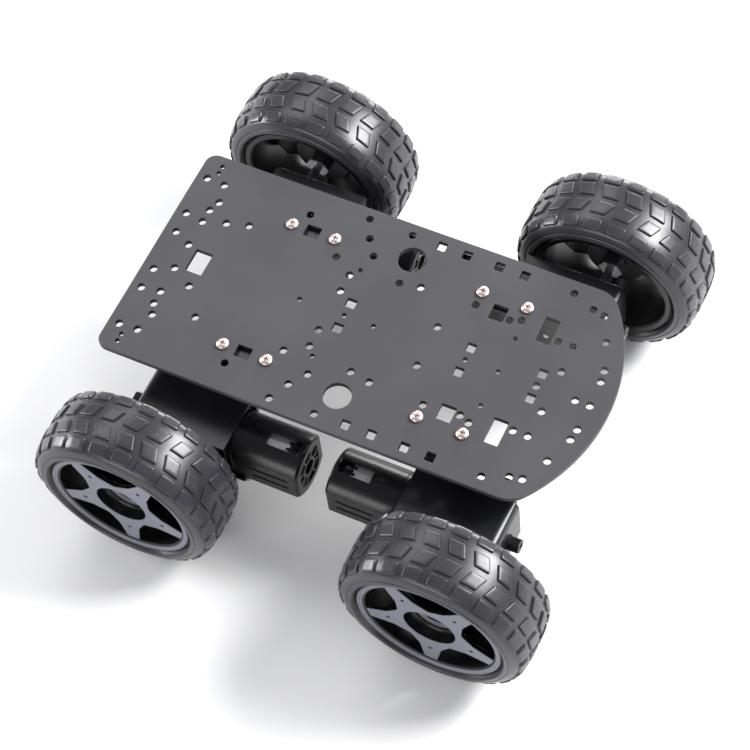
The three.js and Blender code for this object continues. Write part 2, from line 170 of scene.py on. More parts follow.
class Solid:
    """Vertices in millimetres and faces, each with the number of its material."""

    def __init__(self):
        self.verts = []
        self.faces = []
        self.slots = []

    def loop(self, points):
        start = len(self.verts)
        self.verts.extend(tuple(p) for p in points)
        return list(range(start, len(self.verts)))

    def face(self, indices, slot=0):
        self.faces.append(tuple(indices))
        self.slots.append(slot)

    def bridge(self, a, b, slot=0, closed=True):
        count = len(a)
        for i in range(count if closed else count - 1):
            j = (i + 1) % count
            self.face((a[i], a[j], b[j], b[i]), slot)

    def loft(self, rings, slot=0, caps=True):
        loops = [self.loop(ring) for ring in rings]
        for a, b in zip(loops, loops[1:]):
            self.bridge(a, b, slot)
        if caps:
            self.face(reversed(loops[0]), slot)
            self.face(loops[-1], slot)
        return loops

    def turn(self, profile, axis, centre, segments=48, slot=0, slots=None):
        """A body of revolution. A profile that starts and ends at radius 0 is capped; any other closes on
        itself. slots gives single steps of the profile a material of their own."""
        capped = profile[0][0] <= 0 and profile[-1][0] <= 0
        if capped:
            profile = profile[1:-1]
        rings = []
        for r, s in profile:
            ring = []
            for i in range(segments):
                angle = 2 * math.pi * i / segments
                c, d = r * math.cos(angle), r * math.sin(angle)
                if axis == "x":
                    ring.append((s, centre[0] + c, centre[1] + d))
                elif axis == "y":
                    ring.append((centre[0] + c, s, centre[1] + d))
                else:
                    ring.append((centre[0] + c, centre[1] + d, s))
            rings.append(self.loop(ring))
        for k, (a, b) in enumerate(zip(rings, rings[1:])):
            self.bridge(a, b, (slots or {}).get(k, slot))
        if capped:
            self.face(reversed(rings[0]), slot)
            self.face(rings[-1], slot)
        else:
            self.bridge(rings[-1], rings[0], (slots or {}).get(len(rings) - 1, slot))

    def plate(self, outline, holes, low, high, edge, place, slot=0, wall=0, steps=2, side=0):
        """A flat plate with holes and rounded edges. place turns (u, v, height) into a point. wall is the
        material inside the holes, and side the material of the outline's edge and of the underside."""
        loops = [outline if area(outline) > 0 else outline[::-1]]
        loops += [hole if area(hole) > 0 else hole[::-1] for hole in holes]
        levels = []
        for k in range(steps + 1):
            a = math.pi / 2 * k / steps
            levels.append((high - edge * (1 - math.cos(a)), edge * (1 - math.sin(a))))
        levels += [(low + high - h, d) for h, d in reversed(levels)]
        tops, bottoms = [], []
        for number, points in enumerate(loops):
            sign = 1 if number == 0 else -1
            rings = [self.loop([place(u, v, h) for u, v in inset(points, sign * d)]) for h, d in levels]
            for k, (a, b) in enumerate(zip(rings, rings[1:])):
                pair = (b, a) if number == 0 else (a, b)
                self.bridge(*pair, slot if k < steps - 1 else side if number == 0 else wall)
            tops.append((rings[0], inset(points, sign * edge)))
            bottoms.append(rings[-1])
        flat, edges, owner, top_index, low_index = [], [], [], [], []
        for number, ((ring, points), under) in enumerate(zip(tops, bottoms)):
            start = len(flat)
            owner += [number] * len(points)
            flat += [Vector(p) for p in points]
            edges += [(start + i, start + (i + 1) % len(points)) for i in range(len(points))]
            top_index += ring
            low_index += under
        _, _, tris, origin, _, _ = delaunay_2d_cdt(flat, edges, [], 2, 1e-7)
        for tri in tris:
            corner = [origin[i][0] for i in tri]
            rims = {owner[i] for i in corner}
            if len(rims) == 1 and 0 not in rims:
                continue
            self.face([top_index[i] for i in corner], slot)
            self.face([low_index[i] for i in reversed(corner)], side)

    def mirrored(self, sx, sy):
        out = Solid()
        out.verts = [(x * sx, y * sy, z) for x, y, z in self.verts]
        out.faces = [tuple(reversed(f)) if sx * sy < 0 else f for f in self.faces]
        out.slots = list(self.slots)
        return out


def make_mesh(name, solid, materials, sharp=32):
    mesh = bpy.data.meshes.new(name)
    mesh.from_pydata([(x * MM, y * MM, z * MM) for x, y, z in solid.verts], [], solid.faces)
    mesh.polygons.foreach_set("material_index", solid.slots)
    mesh.polygons.foreach_set("use_smooth", [True] * len(mesh.polygons))
    for material in materials:
        mesh.materials.append(material)
    mesh.update()
    bm = bmesh.new()
    bm.from_mesh(mesh)
    bmesh.ops.recalc_face_normals(bm, faces=bm.faces)
    bm.to_mesh(mesh)
    bm.free()
    mesh.set_sharp_from_angle(angle=math.radians(sharp))
    return mesh


def add_piece(name, mesh, body, replaces=(), location=(0, 0, 0)):
    obj = bpy.data.objects.new(name, mesh)
    bpy.context.scene.collection.objects.link(obj)
    obj.location = Vector(location) * MM
    obj.modifiers.new("shading", "WEIGHTED_NORMAL").keep_sharp = True
    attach(obj, body)
    if replaces:
        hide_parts(*replaces)
    return obj


def add_copy(where, name, solid, materials, sharp, body, replaced=None, location=(0, 0, 0)):
    """One corner's mirrored copy of a solid that is drawn for the front left."""
    corner, sx, sy = where
    mesh = make_mesh(f"{corner}_{name}", solid.mirrored(sx, sy), materials, sharp)
    nodes = [f"{corner}_{replaced}"] if replaced else []
    return add_piece(f"{corner}_{name}", mesh, body, nodes, location)


def middle(node):
    """Middle of a node's box in plan."""
    low, high = box_mm(node)
    return (low.x + high.x) / 2, (low.y + high.y) / 2


# ---------------------------------------------------------------- materials
def surface(name, colour, rough, metal=0.0, tint=0.12, blotch=40.0, grain=2200.0, bump=0.1, rough_vary=0.08,
            wear=None, stretch=(1, 1, 1), specular=0.5):
    """A procedural finish: blotchy tone, fine grain in bump and roughness, and optional rubbed edges."""
    mat = bpy.data.materials.new(name)
    mat.use_nodes = True
    nodes, links = mat.node_tree.nodes, mat.node_tree.links
    bsdf = nodes["Principled BSDF"]
    bsdf.inputs["Metallic"].default_value = metal
    bsdf.inputs["Specular IOR Level"].default_value = specular
    where = nodes.new("ShaderNodeTexCoord")
    mapping = nodes.new("ShaderNodeMapping")
    mapping.inputs["Scale"].default_value = stretch
    links.new(where.outputs["Object"], mapping.inputs["Vector"])

    def noise(scale, detail, roughness=0.5):
        node = nodes.new("ShaderNodeTexNoise")
        node.inputs["Scale"].default_value = scale
        node.inputs["Detail"].default_value = detail
        node.inputs["Roughness"].default_value = roughness
        links.new(mapping.outputs["Vector"], node.inputs["Vector"])
        return node

    tone = noise(blotch, 3.0)
    fine = noise(grain, 4.0, 0.6)
    ramp = nodes.new("ShaderNodeValToRGB")
    ramp.color_ramp.elements[0].position = 0.3
    ramp.color_ramp.elements[1].position = 0.7
    ramp.color_ramp.elements[0].color = [c * (1 - tint) for c in colour] + [1]
    ramp.color_ramp.elements[1].color = [min(1, c * (1 + tint)) for c in colour] + [1]
    links.new(tone.outputs["Fac"], ramp.inputs["Fac"])
    base = ramp.outputs["Color"]

    spread = nodes.new("ShaderNodeMapRange")
    spread.inputs["To Min"].default_value = max(0.04, rough - rough_vary)
    spread.inputs["To Max"].default_value = min(1.0, rough + rough_vary)
    mixed = nodes.new("ShaderNodeMath")
    mixed.operation = "MULTIPLY_ADD"
    mixed.inputs[1].default_value = 0.5
    links.new(fine.outputs["Fac"], mixed.inputs[0])
    half = nodes.new("ShaderNodeMath")
    half.operation = "MULTIPLY"
    half.inputs[1].default_value = 0.5
    links.new(tone.outputs["Fac"], half.inputs[0])
    links.new(half.outputs[0], mixed.inputs[2])
    links.new(mixed.outputs[0], spread.inputs["Value"])
    links.new(spread.outputs["Result"], bsdf.inputs["Roughness"])

    if wear:
        soft = nodes.new("ShaderNodeBevel")
        soft.samples = 4
        soft.inputs["Radius"].default_value = 0.0004
        geometry = nodes.new("ShaderNodeNewGeometry")
        dot = nodes.new("ShaderNodeVectorMath")
        dot.operation = "DOT_PRODUCT"
        links.new(soft.outputs["Normal"], dot.inputs[0])
        links.new(geometry.outputs["Normal"], dot.inputs[1])
        mask = nodes.new("ShaderNodeMapRange")
        mask.inputs["From Min"].default_value = 0.97
        mask.inputs["From Max"].default_value = 0.8
        links.new(dot.outputs["Value"], mask.inputs["Value"])
        broken = nodes.new("ShaderNodeMath")
        broken.operation = "MULTIPLY"
        links.new(mask.outputs["Result"], broken.inputs[0])
        links.new(fine.outputs["Fac"], broken.inputs[1])
        worn = nodes.new("ShaderNodeMix")
        worn.data_type = "RGBA"
        worn.inputs[7].default_value = (*wear, 1)
        links.new(broken.outputs[0], worn.inputs[0])
        links.new(base, worn.inputs[6])
        base = worn.outputs[2]
    links.new(base, bsdf.inputs["Base Color"])

    relief = nodes.new("ShaderNodeBump")
    relief.inputs["Strength"].default_value = bump
    relief.inputs["Distance"].default_value = 0.00015
    links.new(fine.outputs["Fac"], relief.inputs["Height"])
    links.new(relief.outputs["Normal"], bsdf.inputs["Normal"])
    return mat


DECK_METAL = surface("deck_metal", (0.060, 0.059, 0.066), 0.46, metal=0.0, tint=0.1, blotch=18, grain=2600,
                     bump=0.16, rough_vary=0.05, wear=(0.22, 0.22, 0.23), specular=0.25)
# Near-black copy of the deck finish, used only on the walls of the holes: painted shade inside the holes.
DECK_HOLE_SHADE = surface("deck_hole_shade", (0.006, 0.006, 0.007), 0.6, tint=0.2, grain=3000, bump=0.2)
BLACK_SHEET = surface("black_sheet", (0.012, 0.0125, 0.016), 0.30, tint=0.1, blotch=60, grain=3000, bump=0.14,
                      wear=(0.16, 0.16, 0.17), specular=0.55)
BLACK_PLASTIC = surface("black_plastic", (0.006, 0.006, 0.0075), 0.27, tint=0.15, blotch=90, grain=3800,
                        bump=0.16, wear=(0.05, 0.05, 0.055), specular=0.36)
BLACK_BOLT = surface("black_bolt", (0.012, 0.012, 0.013), 0.32, metal=0.3, grain=4000, bump=0.1,
                     wear=(0.12, 0.12, 0.12))
MOTOR_STEEL = surface("motor_steel", (0.80, 0.80, 0.82), 0.42, metal=0.35, tint=0.06, grain=1800, bump=0.08,
                      stretch=(0.05, 1, 1))
GEAR_PLASTIC = surface("gear_plastic", (0.72, 0.68, 0.56), 0.45, tint=0.05, grain=3000, bump=0.1)
SHAFT_STEEL = surface("shaft_steel", (0.42, 0.42, 0.44), 0.3, metal=0.95, tint=0.08, grain=2400, bump=0.08,
                      stretch=(1, 0.05, 1))
NICKEL = surface("nickel_screw", (0.74, 0.62, 0.57), 0.38, metal=1.0, tint=0.05, grain=3000, bump=0.05,
                 rough_vary=0.06)
# The rim is one glossy black plastic drawn in two copies: this grey-lavender tone is a painted reflection on
# the lit faces, and the near-black copy below is painted shade for its hollows.
RIM_PLASTIC = surface("rim_plastic", (0.17, 0.17, 0.21), 0.42, metal=0.1, tint=0.06, blotch=70, grain=3600,
                      bump=0.12, wear=(0.3, 0.3, 0.34), specular=0.5)
RUBBER = surface("tyre_rubber", (0.031, 0.030, 0.037), 0.30, tint=0.16, blotch=55, grain=2600, bump=0.16,
                 rough_vary=0.07, specular=0.5)
# Near-black copy of the rim plastic: painted shade for the inside of the barrel, the star's walls and back,
# the hub cup and the ribs behind the arms.
RIM_PAINTED_SHADE = surface("rim_painted_shade", (0.004, 0.004, 0.005), 0.3, tint=0.2, grain=3000, bump=0.08, specular=0.35)


# ---------------------------------------------------------------- deck
def deck_outline():
    front, rear, half = DECK_HIGH.x, DECK_LOW.x, DECK_HIGH.y
    nose_r, blend, tail = 93, 14, 6
    cx = front - nose_r
    fy = half - blend
    fx = cx + math.sqrt((nose_r - blend) ** 2 - fy ** 2)
    lean = math.degrees(math.atan2(fy, fx - cx))
    points = [(rear + tail, -half)]
    points += arc(fx, -fy, blend, -90, -lean, 12)
    points += arc(cx, 0, nose_r, -lean, lean, 44)[1:-1]
    points += arc(fx, fy, blend, lean, 90, 12)
    points += arc(rear + tail, half - tail, tail, 90, 180, 8)
    points += arc(rear + tail, tail - half, tail, 180, 270, 8)[:-1]
    return points


# Holes of the deck: round ones by radius, windows by length and width. Pairs and windows are on both sides.
ROUND_PAIRS = {
    2.0: [(-117, 47), (-107, 46.5), (-104.5, 36), (-106.8, 30), (-107, 22.5), (-117, 24), (-116.5, 12),
          (-107, 7.5), (-84, 29.2), (-58.5, 47), (-35.4, 29.3), (-29.8, 56), (-24.8, 45.5), (-18.6, 36.8),
          (-24.8, 22.2), (-24.8, 12.2), (-6, 55.4), (0, 27.4), (10.7, 29.3), (27.8, 11.8), (39.7, 30.5),
          (58.4, 28.8), (63.8, 31), (84.8, 26.6), (92.4, 26.6), (93, 11.8), (81.2, 55), (93.2, 50),
          (99.4, 48.6), (106.2, 35.2), (111.6, 20.4), (112.4, 14.2)],
    1.2: [(-113, 52), (-113, 56.2), (-21, 26.8), (65.2, 20.2)],
    7.1: [(0, 42.2)],
}
ROUND_CENTRE = {2.0: [85.2, 105.2, 112.8], 1.3: [-41.2, -16.9, -1, 47.9, 65.2]}
ROUND_SINGLE = {2.0: [(-95.3, -14.3), (-95.3, 26.2)]}
TAIL_WINDOW = (-97.2, 0, 9.2, 13.2)
SCREW_HOLE_R = 1.8
WINDOWS = [((4.7, 4.9), [(10.3, 55), (24, 55), (41.4, 55), (55, 55), (47.7, 7.3), (85.2, 7.3)]),
           ((5.4, 5), [(-16.8, 7.6)]), ((7.8, 6.6), [(-53, 38.1)]), ((7.8, 8.6), [(51.8, 30.4)]),
           ((7.6, 14.2), [(77.8, 30.4)])]


def window(x, y, length, width):
    a, b = length / 2, width / 2
    return fillet(rect(x - a, y - b, x + a, y + b), 0.45, 3)


def build_deck():
    holes = [window(*TAIL_WINDOW)]
    for side in (1, -1):
        for r, places in ROUND_PAIRS.items():
            holes += [circle(x, side * y, r, 40 if r > 3 else 20) for x, y in places]
        for (length, width), places in WINDOWS:
            holes += [window(x, side * y, length, width) for x, y in places]
        for corner in [name for name, _, sy in CORNERS if sy == side]:
            holes += [circle(*middle(f"{corner}_deck_screw_{i}"), SCREW_HOLE_R, 20) for i in (1, 2)]
    for r, places in ROUND_CENTRE.items():
        holes += [circle(x, 0, r, 20) for x in places]
    for r, places in ROUND_SINGLE.items():
        holes += [circle(x, y, r, 20) for x, y in places]
    deck = Solid()
    # wall=1 puts the painted-shade copy on the hole walls; the outline's edge keeps the deck finish.
    deck.plate(deck_outline(), holes, DECK_LOW.z, DECK_HIGH.z, 0.28, lying, wall=1)
    mesh = make_mesh("deck", deck, [DECK_METAL, DECK_HOLE_SHADE], 50)
    add_piece("deck", mesh, "chassis", ["deck_plate"])


# ---------------------------------------------------------------- deck screws
def build_screws():
    top = SCREW_HIGH.z
    seat = DECK_HIGH.z + 0.12
    r = SCREW_R
    shank, root, thread_pitch = 1.5, 1.28, 0.5
    cx, cy = middle("front_left_deck_screw_1")
    profile = [(0, SCREW_LOW.z), (0.9, SCREW_LOW.z), (1.35, SCREW_LOW.z + 0.45)]
    z = SCREW_LOW.z + 0.45
    while z < DECK_LOW.z + 0.6:
        profile += [(shank, z + 0.22), (root, z + 0.45)]
        z += thread_pitch
    profile += [(shank, DECK_LOW.z + 1.4), (shank, seat)]
    profile += fillet([(shank, seat), (r, seat), (r, seat + 1.25), (r * 0.62, top - 0.12), (0.6, top)],
                      [0, 0.15, 0.75, 1.2, 0], 5, closed=False)[1:]
    profile += [(0, top)]
    body = Solid()
    body.turn(profile, "z", (cx, cy), 40)
    mesh = make_mesh("screw", body, [NICKEL], 35)
    blank = bpy.data.objects.new("screw_blank", mesh)
    bpy.context.scene.collection.objects.link(blank)
    cutter = Solid()
    for angle in (0, math.pi / 2):
        rings = []
        for long, wide, z in ((0.7, 0.22, top - 1.5), (1.75, 0.42, top + 0.6)):
            corners = [turned(angle, *p) for p in rect(-long, -wide, long, wide)]
            rings.append([(cx + x, cy + y, z) for x, y in corners])
        cutter.loft(rings)
    tool_mesh = make_mesh("screw_recess", cutter, [NICKEL])
    tool = bpy.data.objects.new("screw_recess", tool_mesh)
    bpy.context.scene.collection.objects.link(tool)
    boolean = blank.modifiers.new("recess", "BOOLEAN")
    boolean.object = tool
    boolean.operation = "DIFFERENCE"
    boolean.solver = "EXACT"
    boolean.use_self = True
    graph = bpy.context.evaluated_depsgraph_get()
    cut = bpy.data.meshes.new_from_object(blank.evaluated_get(graph))
    cut.set_sharp_from_angle(angle=math.radians(35))
    bpy.data.objects.remove(blank)
    bpy.data.objects.remove(tool)
    for corner, _, _ in CORNERS:
        for i in (1, 2):
            node = f"{corner}_deck_screw_{i}"
            x, y = middle(node)
            add_piece(f"{corner}_pan_screw_{i}", cut, "chassis", [node], (x - cx, y - cy, 0))


# ---------------------------------------------------------------- tyre
def tread_section():
    """Arc length, radius and side station across half of the tread, from the crown to the sidewall."""
    crown, half, drop, power = TYRE_R, TYRE_HALF - 0.1, 8.2, 2 / 3.0
    table = [(0.0, crown, 0.0)]
    for i in range(1, 91):
        a = math.radians(i)
        r = crown - drop + drop * math.cos(a) ** power
        y = half * math.sin(a) ** power
        last = table[-1]
        table.append((last[0] + math.hypot(r - last[1], y - last[2]), r, y))
    return table


TREAD = tread_section()


def on_tread(t, depth):
    """Point of the tread at arc length t from the crown, and a depth under its surface."""
    side = 1 if t >= 0 else -1
    t = min(abs(t), TREAD[-1][0] - 1e-6)
    k = next(i for i in range(1, len(TREAD)) if TREAD[i][0] >= t)
    a, b = TREAD[k - 1], TREAD[k]
    f = (t - a[0]) / max(b[0] - a[0], 1e-9)
    r, y = a[1] + (b[1] - a[1]) * f, a[2] + (b[2] - a[2]) * f
    along = Vector((b[2] - a[2], b[1] - a[1])).normalized()
    return r - depth * along.x, side * (y + depth * along.y)


BLOCKS = 24
GROOVE_DEPTH = 1.1
# Rows of blocks across the tread. Each has the two stations it lies between, a block's length along the
# tread, its slant, its share of a pitch past the start of the turn, and the rounding of its corners.
TREAD_ROWS = [
    (-17.6, -11.9, 9.0, 0.0, 0.45, 1.2),
    (-8.5, -1.55, 8.0, 0.45, 0.57, 0.6),
    (1.55, 8.85, 8.5, -0.38, 0.59, 0.6),
    (10.8, 17.5, 9.0, 0.0, 0.43, 1.2),
]


def tread_block(tyre, row, number):
    low, high, length, slant, phase, corner = row
    pitch = 2 * math.pi / BLOCKS
    centre = (low + high) / 2
    half = length / 2
    shape = [(-half + slant * (low - centre), low), (half + slant * (low - centre), low),
             (half + slant * (high - centre), high), (-half + slant * (high - centre), high)]
    outline = []
    dense = fillet(shape, corner, 4)
    for i, p in enumerate(dense):
        q = dense[(i + 1) % len(dense)]
        outline.append(p)
        if math.dist(p, q) > 2.2:
            for k in (1, 2):
                outline.append((p[0] + (q[0] - p[0]) * k / 3, p[1] + (q[1] - p[1]) * k / 3))
    rings = []
    steps = ((-0.25, 1.6), (-0.12, 0.7), (0.0, 0.3), (0.22, 0.07), (0.55, 0.0), (1.5, 0.0), (2.6, 0.0))
    for off, depth in steps:
        ring = []
        for s, t in inset(outline, off) if off < 1 else shrink(outline, off / half):
            r, y = on_tread(t, depth)
            angle = (number + phase) * pitch + s / TYRE_R
            ring.append((r * math.sin(angle), y, r * math.cos(angle)))
        rings.append(ring)
    tyre.loft(rings)


def shrink(points, share):
    cx = sum(p[0] for p in points) / len(points)
    cy = sum(p[1] for p in points) / len(points)
    return [(cx + (x - cx) * (1 - share), cy + (y - cy) * (1 - share)) for x, y in points]


def build_tyres():
    tyre = Solid()
    shoulder_r = 43.4
    half = [on_tread(t / 10, GROOVE_DEPTH) for t in range(0, 261, 12)]
    half = [p for p in half if p[0] > shoulder_r]
    sidewall = [(42.8, 0.9), (42.0, 0.75), (41.6, 1.0), (41.2, 0.4), (40.0, 0.15), (39.4, 0.3), (39.0, 0.8),
                (38.5, 1.8), (37.6, 3.3), (35.4, 3.7)]
    side = half + [(r, TYRE_HALF - under) for r, under in sidewall]
    profile = [(r, -y) for r, y in reversed(side[1:])] + side
    tyre.turn(profile, "y", (0, 0), 144)
    for row in TREAD_ROWS:
        for number in range(BLOCKS):
            tread_block(tyre, row, number)
    for where in CORNERS:
        corner, sx, sy = where
        add_copy(where, "block_tyre", tyre, [RUBBER], 48, f"{corner}_wheel", "tyre",
                 (sx * AXLE_X, sy * WHEEL_Y, AXLE_Z))


# ---------------------------------------------------------------- rim
RIM_OPEN = 33.5
RIM_LIP = 37.2
STAR_FACE = RIM_HIGH.y - 1.5
STAR_BACK = STAR_FACE - 2.5
HUB_FLOOR = RIM_HIGH.y - 19.3
HUB_HOLE = 13.3
TYRE_BED = 34.9
ARMS = 5
ARM_START = 52


def arm_angle(number):
    return math.radians(ARM_START + 360 / ARMS * number)


def star_outline():
    tip, tip_half = RIM_OPEN + 0.5, 3.4
    root, root_half = 21.5, 5.6
    valley = 17.2
    points, radii = [], []
    for i in range(ARMS):
        here, after = arm_angle(i), arm_angle(i + 1)
        points += [turned(here, tip, -tip_half), turned(here, tip, tip_half), turned(here, root, root_half),
                   turned(arm_angle(i + 0.5), valley, 0), turned(after, root, -root_half)]
        radii += [0, 0, 5, 3.5, 5]
    return fillet(points, radii, 5)


def build_rims():
    rim = Solid()
    low, high = RIM_LOW.y, RIM_HIGH.y
    # Slot 0 is the lit grey copy of the rim plastic and slot 1 the painted-shade copy; only the outboard lip
    # steps stay grey.
    barrel = [(RIM_OPEN, low + 0.9), (RIM_OPEN + 0.8, low), (RIM_LIP - 0.5, low), (RIM_LIP, low + 0.5),
              (RIM_LIP, low + 1.3), (TYRE_BED, low + 1.6), (TYRE_BED, high - 1.6), (RIM_LIP, high - 1.3),
              (RIM_LIP, high - 0.5), (RIM_LIP - 0.5, high), (RIM_LIP - 1.1, high),
              (RIM_LIP - 1.5, high - 0.55), (RIM_OPEN + 1.0, high - 0.75), (RIM_OPEN, high - 1.5),
              (RIM_OPEN - 0.2, high - 5.5), (RIM_OPEN - 0.2, high - 9)]
    outer_lip = range(7, 12)
    rim.turn(barrel, "y", (AXLE_X, AXLE_Z), 128, slot=1, slots=dict.fromkeys(outer_lip, 0))
    arm_hole_at, arm_hole_r = 22.6, 0.95
    holes = [circle(0, 0, HUB_HOLE, 56)]
    holes += [circle(*turned(arm_angle(i), arm_hole_at, 0), arm_hole_r, 14) for i in range(ARMS)]
    # The star's face is lit grey; its hole walls, edges and back take the painted-shade copy.
    rim.plate(star_outline(), holes, STAR_BACK, STAR_FACE, 0.5, on_axle, wall=1, side=1, steps=4)
    # Hub cup: its walls take the painted-shade copy, and only the shelf (shelf_step) keeps the lit grey.
    floor, shelf = HUB_FLOOR, NUT_HIGH.y - 0.2
    bowl = fillet([(HUB_HOLE + 0.05, STAR_FACE - 0.6), (HUB_HOLE - 0.1, shelf), (6.4, shelf)], [0, 3.0, 0], 8,
                  closed=False)
    cup_r = 15.2
    cup = bowl + [(6.2, shelf - 0.2), (6.2, shelf - 1.4), (HUB_HOLE - 1.2, shelf - 1.6),
                  (HUB_HOLE - 1.4, floor + 4.2), (HUB_HOLE - 2.2, floor + 3.1), (2.9, floor + 3),
                  (2.9, floor), (cup_r, floor), (cup_r + 0.4, floor + 0.5), (cup_r + 0.7, STAR_BACK + 0.6),
                  (HUB_HOLE + 0.6, STAR_BACK + 1.2)]
    shelf_step = len(bowl) - 2
    rim.turn(cup, "y", (AXLE_X, AXLE_Z), 64, slot=1, slots={shelf_step: 0})
    # Ribs behind the arms, in the painted-shade copy.
    for i in range(ARMS):
        rings = []
        for y, reach, wide in ((STAR_BACK + 0.5, RIM_OPEN + 0.2, 1.1), (floor + 6.8, RIM_OPEN + 0.2, 1.0),
                               (floor + 1.3, 24, 0.8)):
            ring = [turned(arm_angle(i), *p) for p in rect(cup_r, -wide, reach, wide)]
            rings.append([on_axle(u, v, y) for u, v in ring])
        rim.loft(rings, slot=1)
    for where in CORNERS:
        add_copy(where, "star_rim", rim, [RIM_PLASTIC, RIM_PAINTED_SHADE], 40, f"{where[0]}_wheel",
                 "wheel_rim")


# ---------------------------------------------------------------- shaft and nut
def gear_outline(teeth, radius, addendum, dedendum, phase):
    pitch = 2 * math.pi / teeth
    points = []
    for i in range(teeth):
        for turn, height in ((-0.36, -dedendum), (-0.27, -dedendum * 0.7), (-0.17, 0), (-0.09, addendum),
                             (0.09, addendum), (0.17, 0), (0.27, -dedendum * 0.7), (0.36, -dedendum)):
            a = phase + (i + turn) * pitch
            points.append(((radius + height) * math.cos(a), (radius + height) * math.sin(a)))
    return points


def build_shafts():
    r, start, end = 2.5, SHAFT_LOW.y, SHAFT_HIGH.y
    collar0, collar1, collar_r = 80.9, 82.6, 4.2
    gear0, gear1, gear_teeth, gear_r = 53.8, 57.4, 18, 11
    hex_r, hex_length = 6.6, 6
    bore = [circle(0, 0, r - 0.05, 24)]
    shaft = Solid()
    profile = [(0, start), (r - 0.4, start), (r, start + 0.4), (r, collar0), (collar_r - 0.2, collar0 + 0.1),
               (collar_r, collar0 + 0.3), (collar_r, collar1 - 0.3), (collar_r - 0.2, collar1 - 0.1),
               (r, collar1), (r, end - 0.5), (r - 0.5, end), (0, end)]
    shaft.turn(profile, "y", (AXLE_X, AXLE_Z), 40)
    seat = HUB_FLOOR - 0.3
    shaft.plate(fillet(circle(0, 0, hex_r, 6), 1.0, 4), bore, seat - hex_length, seat, 0.3, on_axle)
    tilt = math.atan2(AXLE_Z - MOTOR_Z, AXLE_X - CROWN_X)
    gear = gear_outline(gear_teeth, gear_r, 0.7, 0.95, math.pi / gear_teeth + tilt)
    shaft.plate(gear, bore, gear0, gear1, 0.12, on_axle)
    nut = Solid()
    low, high = NUT_LOW.y, NUT_HIGH.y
    nut_r, nut_bore, dome_r, dome_start = 5.5, 2.8, 4.45, low + 4.7
    nut.plate(fillet(circle(0, 0, nut_r, 6), 0.8, 4), [circle(0, 0, nut_bore, 24)], low, low + 4.0, 0.25,
              on_axle)
    dome = [(nut_bore, low + 3.9), (dome_r + 0.05, low + 3.9), (dome_r, dome_start)]
    for i in range(1, 9):
        a = math.radians(90 * i / 9)
        dome.append((dome_r * math.cos(a), dome_start + (high - dome_start) * math.sin(a)))
    dome += [(0.25, high), (0.25, low + 5.3), (nut_bore, low + 5.2)]
    nut.turn(dome, "y", (AXLE_X, AXLE_Z), 40)
    for where in CORNERS:
        body = f"{where[0]}_wheel"
        add_copy(where, "drive_shaft", shaft, [SHAFT_STEEL], 30, body, "output_shaft")
        add_copy(where, "cap_nut", nut, [SHAFT_STEEL], 35, body, "wheel_nut")


